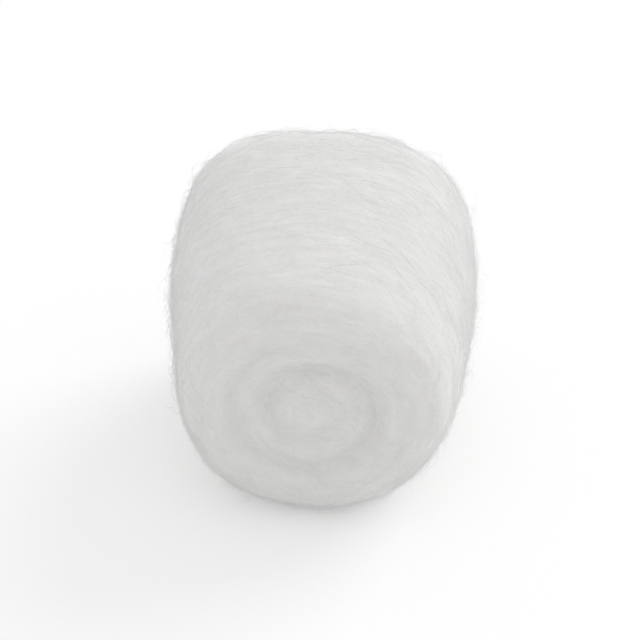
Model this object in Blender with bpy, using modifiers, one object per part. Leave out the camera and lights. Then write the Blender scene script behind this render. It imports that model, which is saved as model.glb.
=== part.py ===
"""A cotton ball: a soft sliver of cotton wound into a short round roll.

Metres, +Z up. The ball lies on its side, as it comes to rest. The roll's axis runs along Y, the
front end faces -Y, and the small flat spot that the ball's own weight presses is at Z = 0.
"""

import math

import bmesh
import bpy
from mathutils import Matrix

# The roll, in metres and radians
ROLL_DIAMETER = 0.0280
ROLL_LENGTH = 0.0287
FRONT_SHOULDER_RADIUS = 0.0046
BACK_SHOULDER_RADIUS = 0.0036
SIDE_LEAN = math.radians(6)  # how far the barrel side leans in where it meets a shoulder
TAPER = 0.05  # the share by which the front end is narrower, and the back end wider, than the waist
CORNER_HEIGHT = 0.0018  # how far the back end's rim stands out on the upper left
CORNER_ANGLE = math.radians(141)
CORNER_REACH = math.radians(33)
FLAT_DEPTH = 0.0008  # how far the bottom is pressed up at the waist

# The dimple in each end, and the sliver's first turn standing up in the middle of it
DIMPLE_RADIUS = 0.0070
FRONT_DIMPLE_DEPTH = 0.0013
BACK_DIMPLE_DEPTH = 0.0018
CORE_RADIUS = 0.0026
CORE_HEIGHT = 0.0008

# The groove between the sliver's turns winds outwards round each end, clockwise from the front
TURN_PITCH = 0.00345  # from one turn to the next
TURN_RELIEF = 0.00028  # the groove's depth all the way out to the rim
WHORL_RADIUS = 0.0053  # from the middle to the stretch where the groove is deepest
WHORL_ANGLE = math.radians(45)  # where that stretch lies, up from +X
WHORL_DEPTH = 0.0013  # the groove's depth there
WHORL_REACH = 0.6  # turns either way over which it grows shallow
GROOVE_WIDTH = 0.0012

# The sliver's tail, which ends the last turn as a low step along the side
LAP_STEP = 0.00055
LAP_TAPER = 0.0022
LAP_WOBBLE = math.radians(3)
LAP_WAVES = 1.3  # waves of that wobble in the roll's length

# The softness of the whole: slow lumps, each row as waves round, half waves along and phase
LUMP_HEIGHT = 0.00040
LUMPS = ((2, 1, 0.4), (3, 2, 2.1), (5, 1, 4.0), (4, 3, 5.2))

# The mesh
STEPS_ROUND = 84
END_STEPS = 13
SHOULDER_STEPS = 8
SIDE_STEPS = 4  # from a shoulder to the waist
WELD = 0.00001

COTTON_COLOUR = (0.86, 0.855, 0.845, 1.0)
COTTON_ROUGHNESS = 1.0


def clear_scene():
    for found in list(bpy.data.objects):
        bpy.data.objects.remove(found, do_unlink=True)


def ease(share):
    """A smooth step from 0 to 1."""
    share = min(max(share, 0.0), 1.0)
    return share * share * (3 - 2 * share)


def bell(distance, width):
    return math.exp(-((distance / width) ** 2))


def half_outline(shoulder_radius):
    """One half's outline as (radius, height), from the middle of its end to short of the waist."""
    top = ROLL_LENGTH / 2
    side_top = top - shoulder_radius * (1 - math.sin(SIDE_LEAN))
    barrel_radius = side_top / math.sin(SIDE_LEAN)

    def side_radius(height):
        return ROLL_DIAMETER / 2 - barrel_radius + math.sqrt(barrel_radius**2 - height**2)

    shoulder_middle = side_radius(side_top) - shoulder_radius * math.cos(SIDE_LEAN)
    end = [(shoulder_middle * step / END_STEPS, top) for step in range(END_STEPS)]
    shoulder = []
    for step in range(SHOULDER_STEPS):
        turned = math.pi / 2 + (SIDE_LEAN - math.pi / 2) * step / SHOULDER_STEPS
        radius = shoulder_middle + shoulder_radius * math.cos(turned)
        height = top - shoulder_radius * (1 - math.sin(turned))
        shoulder.append((radius, height))
    side = []
    for step in range(SIDE_STEPS):
        height = side_top * (1 - step / SIDE_STEPS)
        side.append((side_radius(height), height))
    return end + shoulder + side


def profile_points():
    """The roll's outline as (radius, height), from the middle of the front end to the back one's."""
    front = half_outline(FRONT_SHOULDER_RADIUS)
    waist = (ROLL_DIAMETER / 2, 0)
    back = [(radius, -height) for radius, height in reversed(half_outline(BACK_SHOULDER_RADIUS))]
    whole = front + [waist] + back
    return [(radius * (1 - TAPER * 2 * height / ROLL_LENGTH), height) for radius, height in whole]


def turned_roll():
    """The plain roll about its own Z axis: the outline, turned by a Screw modifier."""
    points = [(radius, 0, height) for radius, height in profile_points()]
    edges = [(index, index + 1) for index in range(len(points) - 1)]
    outline = bpy.data.meshes.new("roll_outline")
    outline.from_pydata(points, edges, [])
    guide = bpy.data.objects.new("roll_outline", outline)
    bpy.context.scene.collection.objects.link(guide)
    screw = guide.modifiers.new("turn", "SCREW")
    screw.steps = STEPS_ROUND
    screw.render_steps = STEPS_ROUND
    screw.use_merge_vertices = True
    screw.merge_threshold = WELD
    graph = bpy.context.evaluated_depsgraph_get()
    mesh = bpy.data.meshes.new_from_object(guide.evaluated_get(graph))
    bpy.data.objects.remove(guide, do_unlink=True)
    bpy.data.meshes.remove(outline)
    return mesh


def groove_depth(radius, angle):
    """The spiral groove between the turns, at this place on an end."""
    outermost = math.ceil((ROLL_DIAMETER / 2 - WHORL_RADIUS) / TURN_PITCH) + 1
    innermost = -math.ceil(WHORL_RADIUS / TURN_PITCH) - 1
    depth = 0.0
    for turn in range(innermost, outermost + 1):
        wound = turn - (angle - WHORL_ANGLE) / math.tau
        from_groove = radius - (WHORL_RADIUS + TURN_PITCH * wound)
        here = TURN_RELIEF + (WHORL_DEPTH - TURN_RELIEF) * bell(wound, WHORL_REACH)
        depth += here * bell(from_groove, GROOVE_WIDTH)
    return depth * (1 - bell(radius, CORE_RADIUS))


def end_inset(radius, angle, dimple_depth):
    """How far an end lies in from the plane of its rim."""
    dimple = dimple_depth * bell(radius, DIMPLE_RADIUS)
    core = CORE_HEIGHT * bell(radius, CORE_RADIUS)
    return dimple - core + groove_depth(radius, angle)


def lap_height(angle, height):
    """The side's slow spiral, which drops by one step at the tail, where the groove comes out."""
    turns_out = (ROLL_DIAMETER / 2 - WHORL_RADIUS) / TURN_PITCH
    wobble = LAP_WOBBLE * math.sin(math.tau * LAP_WAVES * height / ROLL_LENGTH)
    tail = WHORL_ANGLE - math.tau * turns_out + wobble
    past = (angle - tail) / math.tau % 1.0
    taper = LAP_TAPER / (math.pi * ROLL_DIAMETER)
    return LAP_STEP * (0.5 - past + ease((past - 1 + taper) / taper))


def corner_height(angle, height):
    """The upper left of the back end's rim, where the roll is fullest."""
    turned = (angle - CORNER_ANGLE + math.pi) % math.tau - math.pi
    towards_back = 0.5 - height / ROLL_LENGTH
    return CORNER_HEIGHT * towards_back * bell(turned, CORNER_REACH)


def lump_height(radius, angle, height):
    total = 0.0
    for waves_round, half_waves_along, phase in LUMPS:
        along = math.cos(math.pi * half_waves_along * height / ROLL_LENGTH + 2 * phase)
        total += math.sin(waves_round * angle + phase) * along
    return LUMP_HEIGHT * total / len(LUMPS) * 2 * radius / ROLL_DIAMETER


def surface_height(point, facing):
    """How far the cotton's surface stands out from the plain turned roll."""
    radius = math.hypot(point.x, point.y)
    angle = math.atan2(point.y, point.x)
    end_share = abs(facing.z)
    outward_share = math.hypot(facing.x, facing.y)
    dimple_depth = FRONT_DIMPLE_DEPTH if point.z > 0 else BACK_DIMPLE_DEPTH
    stands = lump_height(radius, angle, point.z)
    stands += outward_share * corner_height(angle, point.z)
    stands += (1 - end_share) * lap_height(angle, point.z)
    return stands - end_share * end_inset(radius, angle, dimple_depth)


def wind_turns(shape):
    """Moves the plain roll's surface in and out, to show its turns, its tail and its softness."""
    shape.normal_update()
    moves = [vert.normal * surface_height(vert.co, vert.normal) for vert in shape.verts]
    for vert, move in zip(shape.verts, moves):
        vert.co += move


def lay_on_flat_spot(shape):
    """Turns the roll's +Z end to -Y, and cuts it level where it rests."""
    bmesh.ops.transform(shape, matrix=Matrix.Rotation(math.pi / 2, 4, "X"), verts=shape.verts)
    bmesh.ops.translate(shape, vec=(0, 0, ROLL_DIAMETER / 2 - FLAT_DEPTH), verts=shape.verts)
    everything = shape.verts[:] + shape.edges[:] + shape.faces[:]
    cut = bmesh.ops.bisect_plane(
        shape, geom=everything, dist=WELD, plane_co=(0, 0, 0), plane_no=(0, 0, 1), clear_inner=True
    )
    rim = [edge for edge in cut["geom_cut"] if isinstance(edge, bmesh.types.BMEdge)]
    for edge in rim:
        for vert in edge.verts:
            vert.co.z = 0
    bmesh.ops.edgeloop_fill(shape, edges=rim)
    bmesh.ops.recalc_face_normals(shape, faces=shape.faces)


def centre_over_origin(shape):
    """Moves the roll level, until the middle of its box is over the origin."""
    across = [vert.co.x for vert in shape.verts]
    along = [vert.co.y for vert in shape.verts]
    move = (-(min(across) + max(across)) / 2, -(min(along) + max(along)) / 2, 0)
    bmesh.ops.translate(shape, vec=move, verts=shape.verts)


def cotton():
    material = bpy.data.materials.new("cotton")
    material.use_nodes = True
    shader = material.node_tree.nodes["Principled BSDF"]
    shader.inputs["Base Color"].default_value = COTTON_COLOUR
    shader.inputs["Roughness"].default_value = COTTON_ROUGHNESS
    shader.inputs["Metallic"].default_value = 0.0
    return material


def make_cotton_ball(collection):
    mesh = turned_roll()
    mesh.name = "cotton_ball"
    shape = bmesh.new()
    shape.from_mesh(mesh)
    wind_turns(shape)
    lay_on_flat_spot(shape)
    centre_over_origin(shape)
    shape.to_mesh(mesh)
    shape.free()
    mesh.materials.append(cotton())
    mesh.shade_smooth()
    collection.objects.link(bpy.data.objects.new("cotton_ball", mesh))


def main():
    clear_scene()
    collection = bpy.data.collections.new("cotton_ball")
    bpy.context.scene.collection.children.link(collection)
    make_cotton_ball(collection)


main()
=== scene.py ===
"""The looks of the cotton ball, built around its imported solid.

Metres, +Z up, with the roll's axis along Y. A soft matted body takes the solid's form. Fine fibres
lie over it: those of the side are wound round the roll, those of the ends swirl with its turns, and
stray ones and short fuzz stand off the surface.
"""

import math
from typing import NamedTuple

import bpy
import numpy as np
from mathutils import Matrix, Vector, noise
from mathutils.bvhtree import BVHTree


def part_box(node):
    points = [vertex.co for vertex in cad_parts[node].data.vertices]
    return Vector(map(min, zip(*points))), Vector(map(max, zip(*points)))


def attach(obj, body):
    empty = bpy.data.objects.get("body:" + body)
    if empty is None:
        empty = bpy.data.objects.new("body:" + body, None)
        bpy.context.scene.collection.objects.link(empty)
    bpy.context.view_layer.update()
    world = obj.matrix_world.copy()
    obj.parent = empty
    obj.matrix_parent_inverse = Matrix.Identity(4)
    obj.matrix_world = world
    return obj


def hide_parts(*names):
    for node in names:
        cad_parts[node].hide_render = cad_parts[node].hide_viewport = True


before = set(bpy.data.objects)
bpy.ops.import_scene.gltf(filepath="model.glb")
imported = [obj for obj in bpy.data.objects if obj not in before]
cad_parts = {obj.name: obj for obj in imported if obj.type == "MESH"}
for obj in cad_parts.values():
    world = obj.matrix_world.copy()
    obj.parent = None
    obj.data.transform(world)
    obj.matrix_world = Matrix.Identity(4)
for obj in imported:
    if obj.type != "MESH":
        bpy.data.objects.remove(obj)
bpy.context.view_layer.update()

MM = 0.001
TINY = 1e-12

# The roll, from the frame
LOW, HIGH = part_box("cotton_ball")
ROLL_RADIUS = (HIGH.x - LOW.x) / 2
HALF_LENGTH = (HIGH.y - LOW.y) / 2
AXIS_X = (HIGH.x + LOW.x) / 2
AXIS_Z = HIGH.z - ROLL_RADIUS
MIDDLE_Y = (HIGH.y + LOW.y) / 2
SHOULDER_SLOPE = math.radians(38)  # where the side gives way to an end, seen from the roll's middle
SHOULDER_SPAN = math.radians(14)

# The body, and the relief that is moved into its mesh
WELD = 0.001 * MM
VOXEL = 0.46 * MM
SMOOTHING = 8
CLOUD_SIZE, CLOUD_HEIGHT = 3.4 * MM, 0.14 * MM
TUFT_SIZE, TUFT_HEIGHT = 1.3 * MM, 0.09 * MM
STREAK_LENGTH, STREAK_WIDTH, STREAK_HEIGHT = 5.0 * MM, 0.65 * MM, 0.08 * MM
FOLD_LENGTH, FOLD_WIDTH, FOLD_HEIGHT = 7.0 * MM, 1.4 * MM, 0.22 * MM  # on the ends alone
FULL_HEIGHT = 0.8 * MM  # how far the back end's upper right stands proud of the solid
FULL_ANGLE = math.radians(52)
FULL_REACH = math.radians(28)

# The fibres
FIBRE_ROOT = 0.05 * MM  # how far their ends are sunk into the body
BUNDLE_WIDTH = 0.35 * MM
OWN_WAY = 0.07  # how far each fibre turns from its bundle, in radians a step
RISE_SPREAD = 0.5
WIDTH_SPREAD = 0.3
FREE_END_CURVE = 1.6
LEAST_WAVES, MOST_WAVES = 1, 3
WAVE_SHARE = 0.25  # of a fibre's own rise
TIP_WIDTH = 0.35  # as a share of the width in the middle
SIDES = 3
FLOOR_GAP = 0.01 * MM


class Layer(NamedTuple):
    """A layer of fibres. Angles are in radians."""

    name: str
    seed: int
    count: int
    bundle: int  # how many fibres share a course and half of their tone
    segments: int
    length: float
    width: float
    lift: float
    loose: float  # the share of fibres that have a free end
    spread: float  # from the winding, where a fibre starts
    jitter: float  # from its course, at each step
    pull: float  # back towards the winding
    on_side: float  # how dense the layer is there
    on_end: float


LAYERS = (
    Layer("side_fibres", 11, 3360, 6, 7, 8 * MM, 0.024 * MM, 0.14 * MM, 0.25, 0.45, 0.18, 0.08, 1.0, 0.1),
    Layer("crossing_fibres", 12, 3700, 4, 7, 6 * MM, 0.022 * MM, 0.18 * MM, 0.30, 1.1, 0.3, 0.03, 1.0, 0.6),
    Layer("end_fibres", 13, 4260, 10, 7, 6 * MM, 0.028 * MM, 0.18 * MM, 0.30, 0.6, 0.2, 0.08, 0.1, 1.0),
    Layer("stray_fibres", 14, 5100, 1, 6, 4.2 * MM, 0.020 * MM, 0.45 * MM, 0.5, 1.6, 0.4, 0.0, 1.0, 1.0),
    Layer("short_fuzz", 15, 6500, 1, 3, 1.5 * MM, 0.020 * MM, 0.30 * MM, 1.0, 1.6, 0.4, 0.0, 1.0, 1.0),
)

# The cotton
UV_NAME = "OFBake"
TONE_NAME = "tone"  # the attribute with each fibre's own tone, from 0 to 1
# Painted shade: both body tones are set below the fibres' tones, to darken the body where it shows in the
# gaps between the fibres, which cast no shadows. The rest is the cotton's own off-white, and the mix
# between the two tones varies at random.
BODY_PALE_WITH_PAINTED_SHADE = (0.855, 0.849, 0.839, 1)
BODY_DARK_WITH_PAINTED_SHADE = (0.80, 0.794, 0.783, 1)
FIBRE_PALE = (0.98, 0.974, 0.965, 1)
FIBRE_SHADED = (0.785, 0.779, 0.769, 1)
END_SHADED = (0.695, 0.689, 0.679, 1)
ROUGHNESS = 1.0
SPECULAR = 0.1
BODY_SHEEN, FIBRE_SHEEN = 0.5, 1.0
SHEEN_ROUGHNESS = 0.5
BODY_LET_IN, FIBRE_LET_IN = 1.0, 0.8  # the share of the light that goes into the cotton
BODY_DEPTH, FIBRE_DEPTH = 1.5 * MM, 0.03 * MM  # how far it goes
COLOUR_DEPTHS = (1.0, 0.97, 0.93)  # as shares of that, for red, green and blue
TONE_CLOUD_SIZE = 3.5 * MM
TONE_STREAK_LENGTH, TONE_STREAK_WIDTH = 3 * MM, 0.35 * MM
TONE_STREAK_SHARE = 0.6
OWN_TONE_SHARE = 0.6
TONE_LOW, TONE_HIGH = 0.3, 0.7  # the stretch of the pattern that spans the two tones
HAIR_LENGTH, HAIR_WIDTH = 1.6 * MM, 0.09 * MM
TANGLE_SIZE, TANGLE_TWIST = 0.35 * MM, 1.5
BUMP_STRENGTH, BUMP_HEIGHT = 0.5, 0.06 * MM

# The light, and the floor
WHITE = (1, 1, 1, 1)
ROOM_LIGHT = 0.78
BACKDROP_LIGHT = 1.0
LAMP_STRENGTH = 0.82
LAMP_WIDTH = math.radians(40)
LAMP_PLACE = (0.60, 0.60, 0.50)
FLOOR_COLOUR = (0.86, 0.86, 0.86, 1)
FLOOR_GLOW = 0.22  # brings the lit floor up to white, in what the camera sees
FLOOR_SIZE = 6
FLOOR_LEVEL = -0.02 * MM

# The view: as the photograph looks at the roll, from far enough away for its flat perspective
CAMERA_AZIMUTH = math.radians(4)
CAMERA_ELEVATION = math.radians(38)
CAMERA_DISTANCE = 0.5
CLIP_START = 0.01
FRAME_FILL = 0.66  # the ball's share of the picture's height
SENSOR = 36


def unit(vectors):
    return vectors / np.maximum(np.linalg.norm(vectors, axis=-1, keepdims=True), TINY)


def vertex_values(mesh, name):
    """A vector of each vertex, such as its place or its normal, as rows."""
    values = np.empty(len(mesh.vertices) * 3, np.float32)
    mesh.vertices.foreach_get(name, values)
    return values.reshape(-1, 3).astype(np.float64)


def across(points):
    """How far along the roll's outline each point is, in metres from the middle of the side."""
    radius = np.hypot(points[:, 0] - AXIS_X, points[:, 2] - AXIS_Z)
    return np.arctan2(points[:, 1] - MIDDLE_Y, radius) * ROLL_RADIUS


def end_share(points):
    """1 on the ends, 0 on the side, and in between on the shoulders."""
    slope = np.abs(across(points)) / ROLL_RADIUS
    return np.clip((slope - SHOULDER_SLOPE) / SHOULDER_SPAN, 0, 1)


def winding(points):
    """The direction in which the sliver runs round the roll, at each point."""
    x = points[:, 0] - AXIS_X
    z = points[:, 2] - AXIS_Z
    return unit(np.stack([-z, np.zeros_like(x), x], axis=1))


def level_with(normals, vectors):
    """The part of each vector that lies along the surface, made 1 long."""
    return unit(vectors - normals * (vectors * normals).sum(1, keepdims=True))


def noise_at(points):
    return np.array([noise.noise(point) for point in points])


def wound_noise_at(points, length, width):
    """Noise drawn out along the winding."""
    drawn_out = points / length
    drawn_out[:, 1] = across(points) / width
    return noise_at(drawn_out)


def wrap_uv(mesh):
    """Wraps the texture map round the roll: one turn is its width, and end to end is its height."""
    points = vertex_values(mesh, "co")
    turn = np.arctan2(points[:, 2] - AXIS_Z, points[:, 0] - AXIS_X) / math.tau + 0.5
    height = across(points) / (math.pi * ROLL_RADIUS) + 0.5
    corner = np.empty(len(mesh.loops), np.int32)
    mesh.loops.foreach_get("vertex_index", corner)
    start = np.empty(len(mesh.polygons), np.int32)
    mesh.polygons.foreach_get("loop_start", start)
    size = np.empty(len(mesh.polygons), np.int32)
    mesh.polygons.foreach_get("loop_total", size)
    u = turn[corner]
    over_seam = np.maximum.reduceat(u, start) - np.minimum.reduceat(u, start) > 0.5
    u += (u < 0.5) & np.repeat(over_seam, size)
    layer = mesh.uv_layers.new(name=UV_NAME)
    layer.data.foreach_set("uv", np.stack([u, height[corner]], axis=1).ravel().astype(np.float32))


def add_piece(name, mesh, material):
    """Puts a finished mesh into the scene as a piece of the ball."""
    mesh.name = name
    mesh.materials.clear()
    mesh.materials.append(material)
    wrap_uv(mesh)
    piece = bpy.data.objects.new(name, mesh)
    bpy.context.scene.collection.objects.link(piece)
    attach(piece, "root")
    return piece


def even_copy_of(node):
    """A dense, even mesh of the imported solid, with its facets smoothed away."""
    work = bpy.data.objects.new("work", node.data.copy())
    bpy.context.scene.collection.objects.link(work)
    weld = work.modifiers.new("weld", "WELD")
    weld.merge_threshold = WELD
    remesh = work.modifiers.new("voxels", "REMESH")
    remesh.mode = "VOXEL"
    remesh.voxel_size = VOXEL
    smooth = work.modifiers.new("smooth", "SMOOTH")
    smooth.iterations = SMOOTHING
    finer = work.modifiers.new("finer", "SUBSURF")
    finer.levels = 1
    graph = bpy.context.evaluated_depsgraph_get()
    mesh = bpy.data.meshes.new_from_object(work.evaluated_get(graph))
    bpy.data.objects.remove(work, do_unlink=True)
    return mesh


def fullness(points):
    """How far the back end's upper right stands proud."""
    angle = np.arctan2(points[:, 2] - AXIS_Z, points[:, 0] - AXIS_X)
    towards_back = (points[:, 1] - LOW.y) / (HIGH.y - LOW.y)
    return FULL_HEIGHT * towards_back * np.exp(-(((angle - FULL_ANGLE) / FULL_REACH) ** 2))


def body_mesh():
    """The matted body: soft clouds, small tufts, and streaks that run the way the sliver is wound."""
    mesh = even_copy_of(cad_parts["cotton_ball"])
    points = vertex_values(mesh, "co")
    normals = vertex_values(mesh, "normal")
    height = CLOUD_HEIGHT * noise_at(points / CLOUD_SIZE)
    height += TUFT_HEIGHT * noise_at(points / TUFT_SIZE)
    height += STREAK_HEIGHT * wound_noise_at(points, STREAK_LENGTH, STREAK_WIDTH)
    height += FOLD_HEIGHT * end_share(points) * wound_noise_at(points, FOLD_LENGTH, FOLD_WIDTH)
    height += fullness(points) * np.hypot(normals[:, 0], normals[:, 2])
    points += normals * height[:, None]
    points[:, 2] = np.maximum(points[:, 2], 0)
    mesh.vertices.foreach_set("co", points.astype(np.float32).ravel())
    mesh.update()
    mesh.shade_smooth()
    return mesh


def nearest(tree, points):
    """The nearest place on the body to each point, and the surface normal there."""
    found = [tree.find_nearest(point) for point in points]
    places = np.array([place for place, _, _, _ in found])
    normals = np.array([normal for _, normal, _, _ in found])
    return places, normals


def scatter(mesh, layer, count, rng):
    """Random places on the body, with the layer's densities on the side and on the ends."""
    mesh.calc_loop_triangles()
    corners = np.empty(len(mesh.loop_triangles) * 3, np.int32)
    mesh.loop_triangles.foreach_get("vertices", corners)
    corners = vertex_values(mesh, "co")[corners.reshape(-1, 3)]
    first_side = corners[:, 1] - corners[:, 0]
    second_side = corners[:, 2] - corners[:, 0]
    at_end = end_share(corners.mean(axis=1))
    weight = np.linalg.norm(np.cross(first_side, second_side), axis=1)
    weight *= layer.on_side * (1 - at_end) + layer.on_end * at_end
    chosen = rng.choice(len(weight), count, p=weight / weight.sum())
    first, second = rng.random((2, count, 1))
    folded = first + second > 1
    first = np.where(folded, 1 - first, first)
    second = np.where(folded, 1 - second, second)
    return corners[chosen, 0] + first * first_side[chosen] + second * second_side[chosen]


def grow(tree, layer, starts, rng):
    """Lays fibres over the body. Returns the places along them, and the body's normals there."""
    count = len(starts)
    bundles = count // layer.bundle
    places, normals = nearest(tree, starts)
    way = np.where(rng.random(count) < 0.5, 1.0, -1.0)[:, None]
    angle = np.repeat(rng.normal(0, layer.spread, bundles), layer.bundle)[:, None]
    angle += rng.normal(0, OWN_WAY, (count, 1))
    around = level_with(normals, winding(places))
    heading = way * (np.cos(angle) * around + np.sin(angle) * np.cross(normals, around))
    all_places, all_normals = [places], [normals]
    for _ in range(layer.segments):
        turn = way * np.repeat(rng.normal(0, layer.jitter, bundles), layer.bundle)[:, None]
        turn += rng.normal(0, OWN_WAY, (count, 1))
        turned = heading + way * layer.pull * winding(places) + turn * np.cross(normals, heading)
        heading = level_with(normals, turned)
        places, normals = nearest(tree, places + heading * layer.length / layer.segments)
        all_places.append(places)
        all_normals.append(normals)
    return np.stack(all_places, axis=1), np.stack(all_normals, axis=1)


def fibre_heights(layer, count, rng):
    """How high each fibre stands over the body along its length: arched up, or with a free end."""
    share = np.linspace(0, 1, layer.segments + 1)[None, :]
    rise = layer.lift * np.exp(rng.normal(0, RISE_SPREAD, (count, 1)))
    free = rng.random((count, 1)) < layer.loose
    arch = np.where(free, share**FREE_END_CURVE, np.sin(math.pi * share))
    waves = rng.uniform(LEAST_WAVES, MOST_WAVES, (count, 1)) * share + rng.random((count, 1))
    waviness = WAVE_SHARE * rise * arch * np.sin(math.tau * waves)
    return (rise + FIBRE_ROOT) * arch - FIBRE_ROOT + waviness


def tube_mesh(name, lines, normals, widths):
    """Thin closed tubes along the lines, tapered to their ends, as one mesh."""
    count, rings = lines.shape[:2]
    along = np.gradient(lines, axis=1)
    side = unit(np.cross(along, normals))
    up = unit(np.cross(side, along))
    taper = TIP_WIDTH + (1 - TIP_WIDTH) * np.sin(math.pi * np.linspace(0, 1, rings)) ** 0.5
    radius = widths[:, None, None] / 2 * taper[None, :, None]
    turns = math.tau * np.arange(SIDES) / SIDES
    outward = np.stack([math.cos(turn) * side + math.sin(turn) * up for turn in turns], axis=2)
    points = (lines[:, :, None] + radius[:, :, None] * outward).reshape(-1, 3)
    points[:, 2] = np.maximum(points[:, 2], FLOOR_GAP)
    start = np.arange(count)[:, None] * rings * SIDES
    ring = start[:, :, None] + np.arange(rings - 1)[None, :, None] * SIDES
    low = ring + np.arange(SIDES)
    beside = ring + (np.arange(SIDES) + 1) % SIDES
    quads = np.stack([low, low + SIDES, beside + SIDES, beside], axis=-1).reshape(-1, 4)
    near_caps = start + np.arange(SIDES)
    far_caps = start + (rings - 1) * SIDES + np.arange(SIDES)[::-1]
    mesh = bpy.data.meshes.new(name)
    mesh.from_pydata(points, [], quads.tolist() + near_caps.tolist() + far_caps.tolist())
    mesh.shade_smooth()
    return mesh


def lay_fibres(layer, body, tree, material):
    """Makes one layer of fibres, which lets light past it, as a piece of the ball."""
    rng = np.random.default_rng(layer.seed)
    bundles = layer.count // layer.bundle
    starts = np.repeat(scatter(body, layer, bundles, rng), layer.bundle, axis=0)
    if layer.bundle > 1:
        starts = starts + rng.normal(0, BUNDLE_WIDTH, starts.shape)
    lines, normals = grow(tree, layer, starts, rng)
    lines = lines + normals * fibre_heights(layer, len(starts), rng)[:, :, None]
    widths = layer.width * np.exp(rng.normal(0, WIDTH_SPREAD, len(starts)))
    mesh = tube_mesh(layer.name, lines, normals, widths)
    bundle_tones = np.repeat(rng.random(bundles), layer.bundle)
    tones = np.repeat((bundle_tones + rng.random(len(starts))) / 2, (layer.segments + 1) * SIDES)
    own_tones = mesh.attributes.new(TONE_NAME, "FLOAT", "POINT")
    own_tones.data.foreach_set("value", tones.astype(np.float32))
    piece = add_piece(layer.name, mesh, material)
    piece.visible_shadow = False
    piece.visible_diffuse = False


def math_node(nodes, links, operation, first, second=None):
    """A Math node that works on sockets or plain numbers. Returns its result."""
    node = nodes.new("ShaderNodeMath")
    node.operation = operation
    for socket, value in zip(node.inputs, (first, second)):
        if isinstance(value, (int, float)):
            socket.default_value = value
        elif value is not None:
            links.new(value, socket)
    return node.outputs["Value"]


def mixed(nodes, links, first, second, share):
    """Two patterns added up, with this share of the second."""
    first_part = math_node(nodes, links, "MULTIPLY", first, 1 - share)
    second_part = math_node(nodes, links, "MULTIPLY", second, share)
    return math_node(nodes, links, "ADD", first_part, second_part)


def wound_noise(nodes, links, length, width, detail):
    """Noise drawn out along the winding: streaks of this length round the roll, and this width."""
    place = nodes.new("ShaderNodeTexCoord")
    parts = nodes.new("ShaderNodeSeparateXYZ")
    links.new(place.outputs["Object"], parts.inputs["Vector"])
    x = math_node(nodes, links, "SUBTRACT", parts.outputs["X"], AXIS_X)
    y = math_node(nodes, links, "SUBTRACT", parts.outputs["Y"], MIDDLE_Y)
    z = math_node(nodes, links, "SUBTRACT", parts.outputs["Z"], AXIS_Z)
    x_squared = math_node(nodes, links, "MULTIPLY", x, x)
    z_squared = math_node(nodes, links, "MULTIPLY", z, z)
    radius = math_node(nodes, links, "SQRT", math_node(nodes, links, "ADD", x_squared, z_squared))
    outline = math_node(nodes, links, "ARCTAN2", y, radius)
    drawn_out = nodes.new("ShaderNodeCombineXYZ")
    links.new(math_node(nodes, links, "DIVIDE", x, length), drawn_out.inputs["X"])
    links.new(math_node(nodes, links, "MULTIPLY", outline, ROLL_RADIUS / width), drawn_out.inputs["Y"])
    links.new(math_node(nodes, links, "DIVIDE", z, length), drawn_out.inputs["Z"])
    pattern = nodes.new("ShaderNodeTexNoise")
    pattern.inputs["Scale"].default_value = 1
    pattern.inputs["Detail"].default_value = detail
    links.new(drawn_out.outputs["Vector"], pattern.inputs["Vector"])
    return pattern.outputs["Fac"]


def cloud_noise(nodes, links, size, detail, distortion=0):
    place = nodes.new("ShaderNodeTexCoord")
    pattern = nodes.new("ShaderNodeTexNoise")
    pattern.inputs["Scale"].default_value = 1 / size
    pattern.inputs["Detail"].default_value = detail
    pattern.inputs["Distortion"].default_value = distortion
    links.new(place.outputs["Object"], pattern.inputs["Vector"])
    return pattern.outputs["Fac"]


def cotton(name, pale, shaded, sheen, let_in, depth):
    """Matte cotton, which lets in this share of the light, to this depth.

    Returns the material, and the pattern from 0 to 1 that spans its two tones.
    """
    material = bpy.data.materials.new(name)
    material.use_nodes = True
    nodes, links = material.node_tree.nodes, material.node_tree.links
    shader = nodes["Principled BSDF"]
    shader.inputs["Roughness"].default_value = ROUGHNESS
    shader.inputs["Specular IOR Level"].default_value = SPECULAR
    shader.inputs["Sheen Weight"].default_value = sheen
    shader.inputs["Sheen Roughness"].default_value = SHEEN_ROUGHNESS
    shader.inputs["Subsurface Weight"].default_value = let_in
    shader.inputs["Subsurface Radius"].default_value = COLOUR_DEPTHS
    shader.inputs["Subsurface Scale"].default_value = depth
    clouds = cloud_noise(nodes, links, TONE_CLOUD_SIZE, detail=4)
    streaks = wound_noise(nodes, links, TONE_STREAK_LENGTH, TONE_STREAK_WIDTH, detail=3)
    spread = nodes.new("ShaderNodeMapRange")
    spread.inputs["From Min"].default_value = TONE_LOW
    spread.inputs["From Max"].default_value = TONE_HIGH
    links.new(mixed(nodes, links, clouds, streaks, TONE_STREAK_SHARE), spread.inputs["Value"])
    tones = nodes.new("ShaderNodeMix")
    tones.name = "tones"
    tones.data_type = "RGBA"
    tones.inputs["A"].default_value = shaded
    tones.inputs["B"].default_value = pale
    links.new(spread.outputs["Result"], tones.inputs["Factor"])
    links.new(tones.outputs["Result"], shader.inputs["Base Color"])
    return material, spread.outputs["Result"]


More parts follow.
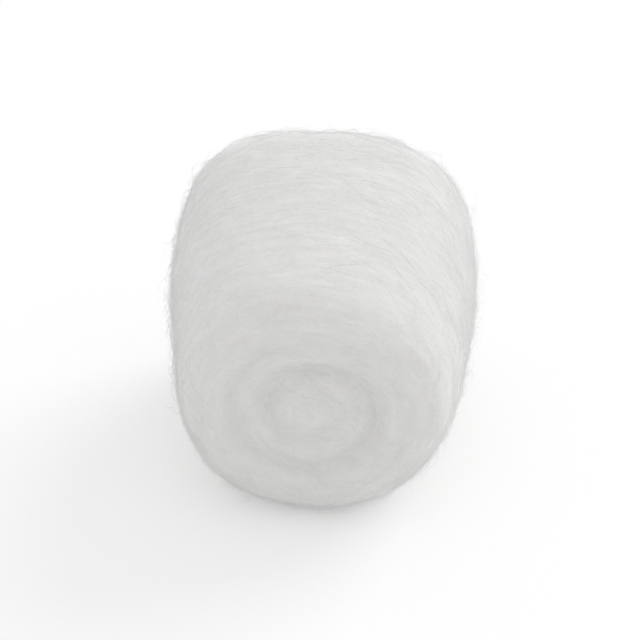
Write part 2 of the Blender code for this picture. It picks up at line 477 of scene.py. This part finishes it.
def body_cotton():
    """Cotton for the body, with hair-thin streaks and a tangle that are too fine for the mesh."""
    # The body's tones carry painted shade for the gaps between the fibres.
    material, _ = cotton("matted_cotton", BODY_PALE_WITH_PAINTED_SHADE, BODY_DARK_WITH_PAINTED_SHADE, BODY_SHEEN, BODY_LET_IN, BODY_DEPTH)
    nodes, links = material.node_tree.nodes, material.node_tree.links
    hairs = wound_noise(nodes, links, HAIR_LENGTH, HAIR_WIDTH, detail=3)
    tangle = cloud_noise(nodes, links, TANGLE_SIZE, detail=5, distortion=TANGLE_TWIST)
    bump = nodes.new("ShaderNodeBump")
    bump.inputs["Strength"].default_value = BUMP_STRENGTH
    bump.inputs["Distance"].default_value = BUMP_HEIGHT
    links.new(math_node(nodes, links, "ADD", hairs, tangle), bump.inputs["Height"])
    links.new(bump.outputs["Normal"], nodes["Principled BSDF"].inputs["Normal"])
    return material


def fibre_cotton(name, shaded):
    """Cotton for fibres, which have a tone each besides the pattern."""
    material, pattern = cotton(name, FIBRE_PALE, shaded, FIBRE_SHEEN, FIBRE_LET_IN, FIBRE_DEPTH)
    nodes, links = material.node_tree.nodes, material.node_tree.links
    own = nodes.new("ShaderNodeAttribute")
    own.attribute_name = TONE_NAME
    tone = mixed(nodes, links, pattern, own.outputs["Fac"], OWN_TONE_SHARE)
    links.new(tone, nodes["tones"].inputs["Factor"])
    return material


def make_ball():
    mesh = body_mesh()
    body = add_piece("cotton_body", mesh, body_cotton())
    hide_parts("cotton_ball")
    tree = BVHTree.FromPolygons(
        [vert.co for vert in mesh.vertices], [tuple(face.vertices) for face in mesh.polygons]
    )
    fibre_material = fibre_cotton("cotton_fibre", FIBRE_SHADED)
    end_material = fibre_cotton("end_fibre", END_SHADED)
    for layer in LAYERS:
        mostly_on_ends = layer.on_side < layer.on_end
        lay_fibres(layer, mesh, tree, end_material if mostly_on_ends else fibre_material)


def aimed(name, data, place, target):
    """Puts a camera or lamp at a place, turned towards its target."""
    thing = bpy.data.objects.new(name, data)
    thing.location = place
    thing.rotation_euler = (Vector(target) - Vector(place)).to_track_quat("-Z", "Y").to_euler()
    bpy.context.scene.collection.objects.link(thing)
    return thing


def make_camera():
    level, rise = math.cos(CAMERA_ELEVATION), math.sin(CAMERA_ELEVATION)
    back = Vector((math.sin(CAMERA_AZIMUTH) * level, -math.cos(CAMERA_AZIMUTH) * level, rise))
    target = Vector((0, 0, (LOW.z + HIGH.z) / 2))
    seen_height = 2 * (HALF_LENGTH * rise + ROLL_RADIUS * level) / FRAME_FILL
    data = bpy.data.cameras.new("camera")
    data.sensor_width = SENSOR
    data.lens = SENSOR * CAMERA_DISTANCE / seen_height
    data.clip_start = CLIP_START
    bpy.context.scene.camera = aimed("camera", data, target + back * CAMERA_DISTANCE, target)


def seen_straight(nodes, links):
    """1 for what the camera sees straight, in a mirror or through glass, and 0 for scattered light."""
    path = nodes.new("ShaderNodeLightPath")
    total = path.outputs["Is Camera Ray"]
    for kind in ("Is Glossy Ray", "Is Transmission Ray"):
        total = math_node(nodes, links, "MAXIMUM", total, path.outputs[kind])
    return total


def make_floor():
    """A plain pale floor, which the camera sees as white, with the ball's shadow."""
    bpy.ops.mesh.primitive_plane_add(size=FLOOR_SIZE, location=(0, 0, FLOOR_LEVEL))
    floor = bpy.context.object
    floor.name = "floor"
    material = bpy.data.materials.new("floor")
    material.use_nodes = True
    nodes, links = material.node_tree.nodes, material.node_tree.links
    shader = nodes["Principled BSDF"]
    shader.inputs["Base Color"].default_value = FLOOR_COLOUR
    shader.inputs["Roughness"].default_value = 1.0
    shader.inputs["Specular IOR Level"].default_value = 0.0
    glow = nodes.new("ShaderNodeEmission")
    glow.inputs["Strength"].default_value = FLOOR_GLOW
    added = nodes.new("ShaderNodeAddShader")
    links.new(shader.outputs["BSDF"], added.inputs[0])
    links.new(glow.outputs["Emission"], added.inputs[1])
    chosen = nodes.new("ShaderNodeMixShader")
    links.new(seen_straight(nodes, links), chosen.inputs["Fac"])
    links.new(shader.outputs["BSDF"], chosen.inputs[1])
    links.new(added.outputs["Shader"], chosen.inputs[2])
    links.new(chosen.outputs["Shader"], nodes["Material Output"].inputs["Surface"])
    floor.data.materials.append(material)


def make_light():
    """Plain soft studio light: an even white room, and a wide lamp above, to the right and behind."""
    world = bpy.data.worlds.new("room")
    bpy.context.scene.world = world
    world.use_nodes = True
    nodes, links = world.node_tree.nodes, world.node_tree.links
    room = nodes["Background"]
    room.inputs["Color"].default_value = WHITE
    room.inputs["Strength"].default_value = ROOM_LIGHT
    backdrop = nodes.new("ShaderNodeBackground")
    backdrop.inputs["Color"].default_value = WHITE
    backdrop.inputs["Strength"].default_value = BACKDROP_LIGHT
    chosen = nodes.new("ShaderNodeMixShader")
    links.new(seen_straight(nodes, links), chosen.inputs["Fac"])
    links.new(room.outputs["Background"], chosen.inputs[1])
    links.new(backdrop.outputs["Background"], chosen.inputs[2])
    links.new(chosen.outputs["Shader"], nodes["World Output"].inputs["Surface"])
    lamp = bpy.data.lights.new("lamp", "SUN")
    lamp.energy = LAMP_STRENGTH
    lamp.angle = LAMP_WIDTH
    aimed("lamp", lamp, LAMP_PLACE, (0, 0, 0))


make_camera()
make_ball()
make_floor()
make_light()
bpy.context.scene.view_settings.view_transform = "Standard"
